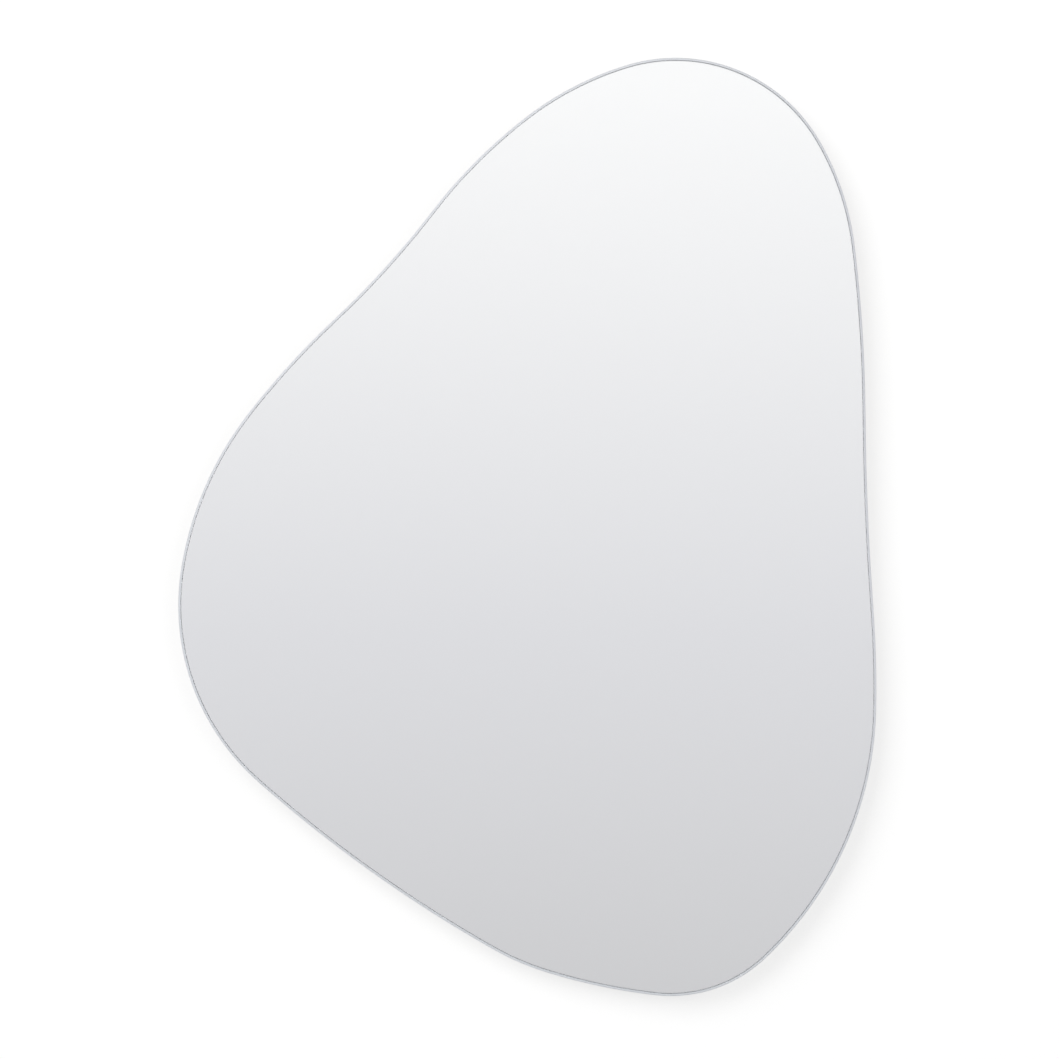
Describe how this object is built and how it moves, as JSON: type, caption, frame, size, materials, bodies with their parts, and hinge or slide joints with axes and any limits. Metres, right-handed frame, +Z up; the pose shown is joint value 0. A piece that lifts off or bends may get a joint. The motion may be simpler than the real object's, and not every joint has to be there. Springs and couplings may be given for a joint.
{
  "type": "irregular shaped wall mirror",
  "caption": "Frameless wall mirror of irregular rounded outline on a set-back board, with folding hanging rings and wall bumpers behind.",
  "frame": {"origin": "in the wall's face, midway between the bearing points of the two upright hanger rings when they are folded up", "axes": "+Z up, +X right as seen from the front, +Y into the wall"},
  "size_m": [0.5952, 0.0269, 0.7999],
  "materials": {
    "float_glass": "polished, with a polished bevel and edge",
    "silvering": "bright silver in front, grey backing paint behind",
    "safety_film": "white film, slight gloss",
    "foam_tape": "closed-cell foam",
    "silicone": "neutral cured silicone",
    "board": "raw medium-density fibreboard",
    "plated_steel": "bright zinc plate",
    "bumper_rubber": "matt moulded rubber"
  },
  "bodies": {
    "mirror": {"glass_pane": "float_glass", "silvering_and_paint": "silvering", "safety_film": "safety_film", "foam_tape_1": "foam_tape", "foam_tape_2": "foam_tape", "foam_tape_3": "foam_tape", "foam_tape_4": "foam_tape", "silicone_bead_1": "silicone", "silicone_bead_2": "silicone", "silicone_bead_3": "silicone", "backing_board": "board", "hanger_strap_left": "plated_steel", "hanger_strap_right": "plated_steel", "hanger_strap_side_upper": "plated_steel", "hanger_strap_side_lower": "plated_steel", "hanger_screws": "plated_steel", "bumper_upper_right": "bumper_rubber", "bumper_upper_left": "bumper_rubber", "bumper_lower_left": "bumper_rubber", "bumper_lower_right": "bumper_rubber"},
    "ring_left": {"hanger_ring_left": "plated_steel"},
    "ring_right": {"hanger_ring_right": "plated_steel"},
    "ring_side_upper": {"hanger_ring_side_upper": "plated_steel"},
    "ring_side_lower": {"hanger_ring_side_lower": "plated_steel"}
  },
  "joints": [
    {"name": "ring_left_fold", "type": "hinge", "parent": "mirror", "child": "ring_left", "pos_m": [-0.13, -0.0053, -0.013], "axis": [1, 0, 0], "range_deg": [0, 175]},
    {"name": "ring_right_fold", "type": "hinge", "parent": "mirror", "child": "ring_right", "pos_m": [0.13, -0.0053, -0.013], "axis": [1, 0, 0], "range_deg": [0, 175]},
    {"name": "ring_side_upper_fold", "type": "hinge", "parent": "mirror", "child": "ring_side_upper", "pos_m": [0.2, -0.0053, -0.045], "axis": [0, 0, -1], "range_deg": [0, 175]},
    {"name": "ring_side_lower_fold", "type": "hinge", "parent": "mirror", "child": "ring_side_lower", "pos_m": [0.2, -0.0053, -0.305], "axis": [0, 0, -1], "range_deg": [0, 175]}
  ]
}
